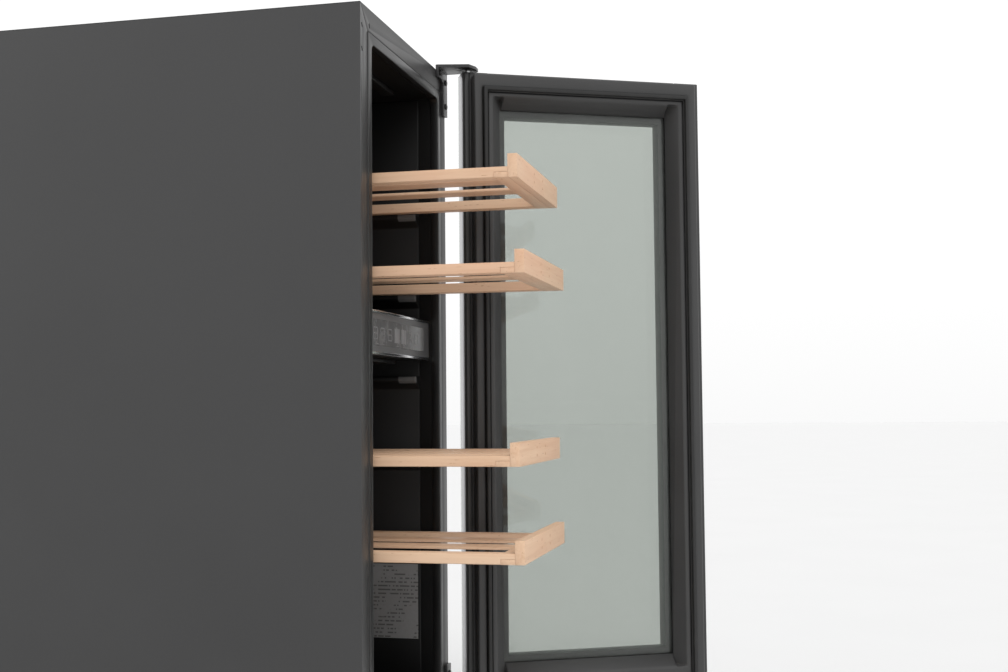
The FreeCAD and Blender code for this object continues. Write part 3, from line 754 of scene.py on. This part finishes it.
def carried(node, finish):
    """Gives a frame node that stays as it is its finish."""
    piece = frame["nodes"][node]
    if not piece.material_slots:
        piece.data.materials.append(finish)
    for slot in piece.material_slots:
        slot.material = finish


def eased_copy(node, width, finish, segments=2, angle=30.0):
    """A copy of a frame node with its hard edges rounded, standing for the node."""
    source = frame["nodes"][node]
    piece = source.copy()
    piece.data = source.data.copy()
    piece.parent = None
    piece.matrix_world = Matrix.Identity(4)
    piece.name = node + "_shaped"
    piece.data.name = piece.name
    bpy.context.scene.collection.objects.link(piece)
    piece.hide_render = False
    only(piece)
    bpy.ops.object.mode_set(mode="EDIT")
    bpy.ops.mesh.select_all(action="SELECT")
    bpy.ops.mesh.remove_doubles(threshold=0.000005)
    bpy.ops.mesh.dissolve_limited(angle_limit=math.radians(0.5))
    bpy.ops.mesh.normals_make_consistent(inside=False)
    bpy.ops.object.mode_set(mode="OBJECT")
    rounded(piece, width, segments, angle)
    dressed(piece, finish)
    body = body_of(source)
    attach(piece, body if isinstance(body, str) else body[0])
    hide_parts(node)
    return piece


def door_turned(piece):
    """Swings a piece drawn about the hinge axis of the shut door to where the door stands."""
    only(piece)
    bpy.ops.object.mode_set(mode="EDIT")
    bpy.ops.mesh.select_all(action="SELECT")
    bpy.ops.transform.rotate(value=-DOOR_ANGLE, orient_axis="Z", orient_type="GLOBAL",
                             center_override=(0.0, 0.0, 0.0))
    bpy.ops.transform.translate(value=(PIVOT.x, PIVOT.y, 0.0))
    bpy.ops.object.mode_set(mode="OBJECT")
    return piece


# ------------------------------------------------------------------ operators
class COOLER_OT_stage(bpy.types.Operator):
    """Pale floor, soft light and the camera"""
    bl_idname = "cooler.stage"
    bl_label = "Stage"

    def execute(self, context):
        look = context.scene.cooler_stage
        feet = corners("levelling_feet")[0].z
        bpy.ops.object.select_all(action="DESELECT")
        bpy.ops.mesh.primitive_plane_add(size=60.0, location=(0.0, 0.0, feet))
        floor = settle(context.active_object)
        floor.name = "floor"
        f = Finish("floor_white")
        grain = f.noise(f.place, 3.0, 3.0)
        colour = f.mix(grain, dimmed(look.backdrop, 0.90), dimmed(look.backdrop, 0.93))
        dressed(floor, f.surface(Base_Color=colour, Roughness=0.9))
        floor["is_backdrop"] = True

        world = bpy.data.worlds.new("pale_room")
        context.scene.world = world
        world.use_nodes = True
        tree = world.node_tree
        backing = tree.nodes["Background"]
        ray = tree.nodes.new("ShaderNodeLightPath")
        outlook = tree.nodes.new("ShaderNodeTexCoord")
        parts = tree.nodes.new("ShaderNodeSeparateXYZ")
        rise = tree.nodes.new("ShaderNodeMapRange")
        soft = tree.nodes.new("ShaderNodeMapRange")
        product = tree.nodes.new("ShaderNodeMath")
        product.operation = "MULTIPLY"
        tree.links.new(outlook.outputs["Generated"], parts.inputs[0])
        tree.links.new(parts.outputs[2], rise.inputs[0])
        for socket, value in zip(range(1, 5), (-0.02, 0.22, 0.955, 1.08)):
            rise.inputs[socket].default_value = value
        tree.links.new(ray.outputs["Is Diffuse Ray"], soft.inputs[0])
        for socket, value in zip(range(1, 5), (0.0, 1.0, 1.0, 0.46)):
            soft.inputs[socket].default_value = value
        tree.links.new(rise.outputs[0], product.inputs[0])
        tree.links.new(soft.outputs[0], product.inputs[1])
        tree.links.new(product.outputs[0], backing.inputs["Strength"])
        backing.inputs["Color"].default_value = (*look.backdrop, 1.0)

        soft_light = bpy.data.lights.new("soft_light", "SUN")
        soft_light.energy = look.key
        soft_light.angle = math.radians(50.0)
        holder = bpy.data.objects.new("soft_light", soft_light)
        context.scene.collection.objects.link(holder)
        holder.rotation_euler = Vector(LIGHT_DIRECTION).to_track_quat("-Z", "Y").to_euler()
        holder.visible_glossy = False

        lens = bpy.data.cameras.new("camera")
        lens.sensor_width = 36.0
        lens.lens = look.lens
        lens.clip_end = 200.0
        viewer = bpy.data.objects.new("camera", lens)
        context.scene.collection.objects.link(viewer)
        heading, tilt, roll = (math.radians(angle) for angle in CAMERA_ANGLES)
        ahead = Vector((math.cos(heading) * math.cos(tilt), math.sin(heading) * math.cos(tilt),
                        math.sin(tilt)))
        level = Vector((math.sin(heading), -math.cos(heading), 0.0))
        up = level.cross(ahead)
        right = level * math.cos(roll) + up * math.sin(roll)
        up = up * math.cos(roll) - level * math.sin(roll)
        turn = Matrix((right, up, -ahead)).transposed().to_4x4()
        viewer.matrix_world = Matrix.Translation(CAMERA_PLACE) @ turn
        context.scene.camera = viewer
        context.scene.view_settings.view_transform = "Standard"
        return {"FINISHED"}


class COOLER_OT_shell(bpy.types.Operator):
    """Painted cabinet panels, zinc back and base, screws and feet"""
    bl_idname = "cooler.shell"
    bl_label = "Shell"

    def execute(self, context):
        shell = context.scene.cooler_shell
        for node in ("side_panel_left", "side_panel_right", "top_panel", "bottom_rail"):
            eased_copy(node, shell.hem, powder_coat())
        eased_copy("back_panel", 0.0003, galvanised_sheet(), 1)
        eased_copy("base_plate", 0.0004, galvanised_sheet(), 1)
        eased_copy("kick_grille", 0.0006, grained_plastic("grille_black", (0.012, 0.012, 0.0125), 0.45))
        eased_copy("levelling_feet", 0.0012, grained_plastic("foot_black", (0.015, 0.015, 0.015), 0.55))

        back = corners("back_panel")[1].y
        heads = []
        for side in (-1, 1):
            for step in range(7):
                heads.append((side * (HALF_WIDTH - 0.009), 0.03 + step * (TOP - 0.06) / 6))
        for x in (-0.05, 0.05):
            heads.append((x, TOP - 0.012))
        pieces = []
        for x, z in heads:
            head = disc("back_screw", (x, back + 0.0007, z), shell.screw, 0.0014, "y", 20)
            only(head)
            bpy.ops.object.mode_set(mode="EDIT")
            pick(head, lambda face: face.normal.y > 0.9)
            bpy.ops.mesh.inset(thickness=shell.screw * 0.35, depth=0.0003)
            bpy.ops.object.mode_set(mode="OBJECT")
            pieces.append(head)
        row = rounded(joined("back_screws", pieces), 0.0003, 2, 35.0)
        dressed(row, plated_steel())
        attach(row, "cabinet")
        return {"FINISHED"}


class COOLER_OT_cavity(bpy.types.Operator):
    """Opening frame, liner, rack strips, ducts, lamps and label"""
    bl_idname = "cooler.cavity"
    bl_label = "Cavity"

    def execute(self, context):
        ease = context.scene.cooler_cavity.ease
        eased_copy("opening_frame", 0.0009, edging_black(), 3)
        carried("liner_tub", moulded_black())
        for node in ("rack_strip_left", "rack_strip_right"):
            eased_copy(node, ease, rack_plastic())
        eased_copy("zone_divider", ease, moulded_black())
        for zone in ("upper", "lower"):
            eased_copy("duct_cover_" + zone, 0.0006, moulded_black())
            eased_copy("fan_frame_" + zone, 0.0005, moulded_black())
            carried("fan_rotor_" + zone, grained_plastic("fan_grey", (0.05, 0.05, 0.052), 0.4))
            carried("evaporator_" + zone, galvanised_sheet())
            eased_copy("led_lamp_" + zone, ease, lamp_lens())
        carried("rating_label", label_print())
        carried("foam_jacket", foam_block())
        return {"FINISHED"}


def digit(name, low_x, low_z, wide, tall, stroke, face):
    """One seven-segment figure eight, its bars standing a hair off the panel."""
    middle = low_z + tall / 2
    bars = []
    for z in (low_z, middle - stroke / 2, low_z + tall - stroke):
        bars.append((low_x + stroke * 1.2, z, low_x + wide - stroke * 1.2, z + stroke))
    for x in (low_x, low_x + wide - stroke):
        bars.append((x, low_z + stroke * 0.8, x + stroke, middle - stroke * 0.3))
        bars.append((x, middle + stroke * 0.3, x + stroke, low_z + tall - stroke * 0.8))
    return [block(name, (x0, face - SIGN_PROUD, z0), (x1, face + SIGN_SUNK, z1)) for x0, z0, x1, z1 in bars]


class COOLER_OT_panel(bpy.types.Operator):
    """Control panel: grey face, bright strips, touch field and its plain signs"""
    bl_idname = "cooler.panel"
    bl_label = "Control panel"

    def execute(self, context):
        panel = context.scene.cooler_panel
        eased_copy("control_fascia", 0.0008, fascia_face())
        eased_copy("fascia_trim_lower", 0.0005, bright_strip())
        eased_copy("fascia_trim_upper", 0.0005, bright_strip())
        eased_copy("touch_glass", 0.0003, smoked_touch(), 1)
        low = corners("touch_glass")[0]
        face = low.y
        base = low.z + 0.006
        stroke = panel.stroke
        marks = []
        for x in LARGE_DIGITS:
            marks += digit("panel_digit", x, base, panel.digit_wide, panel.digit_tall, stroke, face)
        for x, wide in KEYS:
            marks.append(block("panel_key", (x, face - SIGN_PROUD, base - 0.001),
                               (x + wide, face + SIGN_SUNK, base + 0.0140)))
        for x in SMALL_DIGITS:
            marks += digit("panel_digit", x, base + 0.0005, panel.digit_wide * 0.9, panel.digit_tall * 0.9,
                           stroke * 0.8, face)
        for x, wide in MARKS:
            marks.append(block("panel_mark", (x, face - SIGN_PROUD, low.z + 0.0012),
                               (x + wide, face + SIGN_SUNK, low.z + 0.0012 + stroke * 0.8)))
            marks.append(block("panel_mark", (x + wide / 2 - stroke / 2, face - SIGN_PROUD, low.z + 0.0012),
                               (x + wide / 2 + stroke / 2, face + SIGN_SUNK, low.z + 0.0044)))
        signs = dressed(joined("panel_signs", marks), printed_sign())
        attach(signs, "cabinet")

        dot_place = (-0.060, corners("zone_divider")[0].y - 0.0004, corners("fascia_trim_lower")[0].z + 0.001)
        dot = disc("status_light", dot_place, 0.0011, 0.0008, "y", 16)
        rounded(dot, 0.0002, 2)
        dressed(dot, printed_sign())
        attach(dot, "cabinet")
        return {"FINISHED"}


class COOLER_OT_machine(bpy.types.Operator):
    """Compressor, condenser, fan, tray, control box and inlet"""
    bl_idname = "cooler.machine"
    bl_label = "Machine space"

    def execute(self, context):
        enamel = grained_plastic("enamel_black", (0.014, 0.014, 0.015), 0.32)
        carried("compressor", enamel)
        carried("condenser", enamel)
        carried("compressor_grommets", gasket_rubber())
        carried("condenser_fan_rotor", grained_plastic("fan_grey", (0.05, 0.05, 0.052), 0.4))
        eased_copy("condenser_fan_frame", 0.0006, moulded_black())
        eased_copy("drip_tray", 0.0006, moulded_black())
        eased_copy("control_box", 0.001, grained_plastic("box_black", (0.02, 0.02, 0.021), 0.5))
        eased_copy("power_inlet", 0.0008, grained_plastic("inlet_black", (0.012, 0.012, 0.012), 0.4))
        low, high = corners("power_inlet")
        middle = (low + high) / 2
        blades = []
        for x, z in ((-0.0045, -0.002), (0.0045, -0.002), (0.0, 0.003)):
            blade = block("inlet_blade", (middle.x + x - 0.001, high.y - 0.0165, middle.z + z - 0.002),
                          (middle.x + x + 0.001, high.y - 0.004, middle.z + z + 0.002))
            blades.append(rounded(blade, 0.0004, 2))
        pins = dressed(joined("inlet_blades", blades), plated_steel())
        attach(pins, "cabinet")
        return {"FINISHED"}


class COOLER_OT_hinges(bpy.types.Operator):
    """Hinge brackets, pins and cross-slotted screws"""
    bl_idname = "cooler.hinges"
    bl_label = "Hinges"

    def execute(self, context):
        eased_copy("hinge_bracket_top", 0.0008, black_steel(), 3)
        eased_copy("hinge_bracket_bottom", 0.0008, black_steel(), 3)
        eased_copy("hinge_pin_top", 0.0004, plated_steel())
        eased_copy("hinge_pin_bottom", 0.0004, plated_steel())
        source = frame["nodes"]["hinge_screws"]
        centres = []
        for vert in source.data.vertices:
            spot = vert.co
            for centre in centres:
                if (Vector((spot.x, spot.z)) - Vector((centre[0], centre[2]))).length < 0.009:
                    break
            else:
                centres.append([spot.x, spot.y, spot.z])
        low, high = corners("hinge_screws")
        heads = []
        for centre in centres:
            ring = [v.co for v in source.data.vertices
                    if (Vector((v.co.x, v.co.z)) - Vector((centre[0], centre[2]))).length < 0.009]
            x = (min(p.x for p in ring) + max(p.x for p in ring)) / 2
            z = (min(p.z for p in ring) + max(p.z for p in ring)) / 2
            radius = (max(p.x for p in ring) - min(p.x for p in ring)) / 2
            head = disc("hinge_screw", (x, (low.y + high.y) / 2, z), radius, high.y - low.y, "y", 32)
            rounded(head, 0.0007, 3)
            slots = []
            for long_x, long_z in ((0.0019, 0.0005), (0.0005, 0.0019)):
                slots.append(block("slot", (x - long_x, low.y - 0.001, z - long_z),
                                   (x + long_x, low.y + 0.0009, z + long_z)))
            for slot in slots:
                carved(head, slot)
            heads.append(head)
        screws = dressed(joined("hinge_screw_heads", heads), black_steel())
        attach(screws, "cabinet")
        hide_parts("hinge_screws")
        return {"FINISHED"}


class COOLER_OT_door(bpy.types.Operator):
    """Door frame, moulded inner frame, gasket and the glass"""
    bl_idname = "cooler.door"
    bl_label = "Door"

    def execute(self, context):
        door = context.scene.cooler_door
        inward = Vector((-math.sin(DOOR_ANGLE), math.cos(DOOR_ANGLE), 0.0))
        outward = Vector((math.cos(DOOR_ANGLE), math.sin(DOOR_ANGLE), 0.0))
        for node, along in (("door_stile_hinge", "z"), ("door_stile_free", "z"),
                            ("door_rail_top", "x"), ("door_rail_bottom", "x")):
            bar = eased_copy(node, door.ease, door_metal(along))
            bar.data.materials.append(inner_moulding())
            for face in bar.data.polygons:
                free_edge = node == "door_stile_free" and face.normal.dot(outward) < -0.5
                if abs(face.normal.dot(inward)) > 0.5 or abs(face.normal.z) > 0.5 or free_edge:
                    face.material_index = 1

        low, high = corners("door_stile_hinge")
        ridges = []
        for x0, x1, rise in EDGE_RIDGES:
            ridge = block("edge_ridge", (x0, DOOR_BACK - 0.0002, low.z + 0.001),
                          (x1, DOOR_BACK + rise, high.z - 0.001))
            ridges.append(rounded(ridge, 0.0009, 3))
        strip = door_turned(joined("door_edge_strip", ridges))
        dressed(strip, inner_moulding())
        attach(strip, "door")
        # A thin black rubber sheet lies in the groove between and beside the ridges: painted shade of the
        # groove.
        shade_sheet = block("groove_bed", (GROOVE_SHADE_FROM, DOOR_BACK - 0.0001, low.z + 0.001),
                    (GROOVE_SHADE_TO, DOOR_BACK + 0.0003, high.z - 0.001))
        rounded(shade_sheet, 0.0001, 1)
        shade_sheet = door_turned(joined("door_edge_bed", [shade_sheet]))
        dressed(shade_sheet, gasket_rubber())
        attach(shade_sheet, "door")
        eased_copy("door_inner_frame", door.moulding_ease, inner_moulding(), 3, 12.0)
        carried("hinge_bushes", grained_plastic("bush_white", (0.7, 0.7, 0.68), 0.4))
        eased_copy("door_gasket", door.lip, gasket_rubber(), 3)
        eased_copy("door_glass_outer", 0.0006, clear_pane())
        eased_copy("door_glass_inner", 0.0005, clear_pane())
        eased_copy("glass_spacer", 0.0004, grained_plastic("spacer_grey", SPACER_GREY, 0.5))
        return {"FINISHED"}


class COOLER_OT_shelves(bpy.types.Operator):
    """Four beech shelves: rails, slats, cross rails, front boards and dowel ends"""
    bl_idname = "cooler.shelves"
    bl_label = "Shelves"

    def execute(self, context):
        sizes = context.scene.cooler_shelf
        ease, cross, line = sizes.ease, sizes.cross, sizes.joint
        for number in range(1, 5):
            body = "shelf_%d" % number
            low, high = corners(body + "_rack")
            half = low.z + (high.z - low.z) * 0.52
            bars = []
            for side in (-1, 1):
                outer = low.x if side < 0 else high.x
                inner = outer - side * sizes.rail
                x0, x1 = min(outer, inner), max(outer, inner)
                bar = block("rail", (x0, low.y + line, low.z), (x1, high.y, high.z))
                for y0, y1 in ((low.y - 0.002, low.y + cross), (high.y - cross, high.y + 0.002)):
                    carved(bar, block("lap", (x0 - 0.002, y0, low.z - 0.002), (x1 + 0.002, y1, half)))
                bars.append(sanded(bar, ease, FINE_EDGE, LONG_EDGE))
                near, far = side * sizes.slat_near, side * (sizes.slat_near + sizes.slat_wide)
                slat = block("slat", (min(near, far), low.y + cross - 0.003, high.z - sizes.slat_deep),
                             (max(near, far), high.y - cross + 0.003, high.z - 0.0001))
                bars.append(sanded(slat, ease * 0.8, FINE_EDGE, LONG_EDGE))
            rack = dressed(joined(body + "_slats", bars), beech("y", number))
            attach(rack, body)

            crossers = []
            for y0, y1, name in ((low.y + line, low.y + cross - line, "front_rail"),
                                 (high.y - cross + line, high.y, "rear_rail")):
                bar = block(name, (low.x, y0, low.z), (high.x, y1, high.z - 0.0002))
                for x0, x1 in ((low.x - 0.002, low.x + sizes.rail + line),
                               (high.x - sizes.rail - line, high.x + 0.002)):
                    carved(bar, block("lap", (x0, y0 - 0.002, half - line), (x1, y1 + 0.002, high.z + 0.002)))
                crossers.append(sanded(bar, ease * 0.5, FINE_EDGE, LONG_EDGE))
            ties = dressed(joined(body + "_cross_rails", crossers), beech("x", number))
            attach(ties, body)
            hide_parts(body + "_rack")

            low, high = corners(body + "_front")
            board = block(body + "_board", low, high)
            only(board)
            bpy.ops.object.mode_set(mode="EDIT")
            pick(board, lambda face: face.normal.z > 0.9)
            bpy.ops.mesh.inset(thickness=0.0012, depth=0.0)
            bpy.ops.mesh.extrude_region_move()
            bpy.ops.transform.translate(value=(0.0, 0.0, -0.0002))
            bpy.ops.object.mode_set(mode="OBJECT")
            sanded(board, ease * 1.5, ease, LONG_EDGE)
            dressed(board, beech("x", number + 4))
            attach(board, body)
            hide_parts(body + "_front")
            ends = []
            for x in (-0.0215, 0.0205):
                for rise in (0.0080, 0.0160):
                    end = disc("dowel", (x, low.y - 0.00005, low.z + rise), sizes.dowel, 0.0004, "y", 20)
                    ends.append(rounded(end, 0.0001, 1))
            dowels = dressed(joined(body + "_dowel_ends", ends), end_dowel())
            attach(dowels, body)
        return {"FINISHED"}


class COOLER_PT_parts(bpy.types.Panel):
    """Lists the pieces of the cooler in the sidebar"""
    bl_label = "Wine cooler"
    bl_idname = "COOLER_PT_parts"
    bl_space_type = "VIEW_3D"
    bl_region_type = "UI"
    bl_category = "Wine cooler"

    def draw(self, context):
        for name, group in GROUPS.items():
            box = self.layout.box()
            box.label(text=group.__name__)
            for field in group.__annotations__:
                box.prop(getattr(context.scene, name), field)
        for operator in OPERATORS:
            self.layout.operator(operator.bl_idname)


OPERATORS = (
    COOLER_OT_stage, COOLER_OT_shell, COOLER_OT_cavity, COOLER_OT_panel, COOLER_OT_machine,
    COOLER_OT_hinges, COOLER_OT_door, COOLER_OT_shelves,
)


def register():
    for group in GROUPS.values():
        bpy.utils.register_class(group)
    for operator in OPERATORS:
        bpy.utils.register_class(operator)
    bpy.utils.register_class(COOLER_PT_parts)
    for name, group in GROUPS.items():
        setattr(bpy.types.Scene, name, bpy.props.PointerProperty(type=group))


def unregister():
    for name in GROUPS:
        delattr(bpy.types.Scene, name)
    bpy.utils.unregister_class(COOLER_PT_parts)
    for operator in reversed(OPERATORS):
        bpy.utils.unregister_class(operator)
    for group in reversed(tuple(GROUPS.values())):
        bpy.utils.unregister_class(group)


def main():
    register()
    bpy.ops.cooler.stage()
    bpy.ops.cooler.shell()
    bpy.ops.cooler.cavity()
    bpy.ops.cooler.panel()
    bpy.ops.cooler.machine()
    bpy.ops.cooler.hinges()
    bpy.ops.cooler.door()
    bpy.ops.cooler.shelves()
    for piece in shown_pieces():
        if piece.type == "MESH" and not piece.material_slots:
            raise RuntimeError("no finish on " + piece.name)


if __name__ == "__main__":
    main()
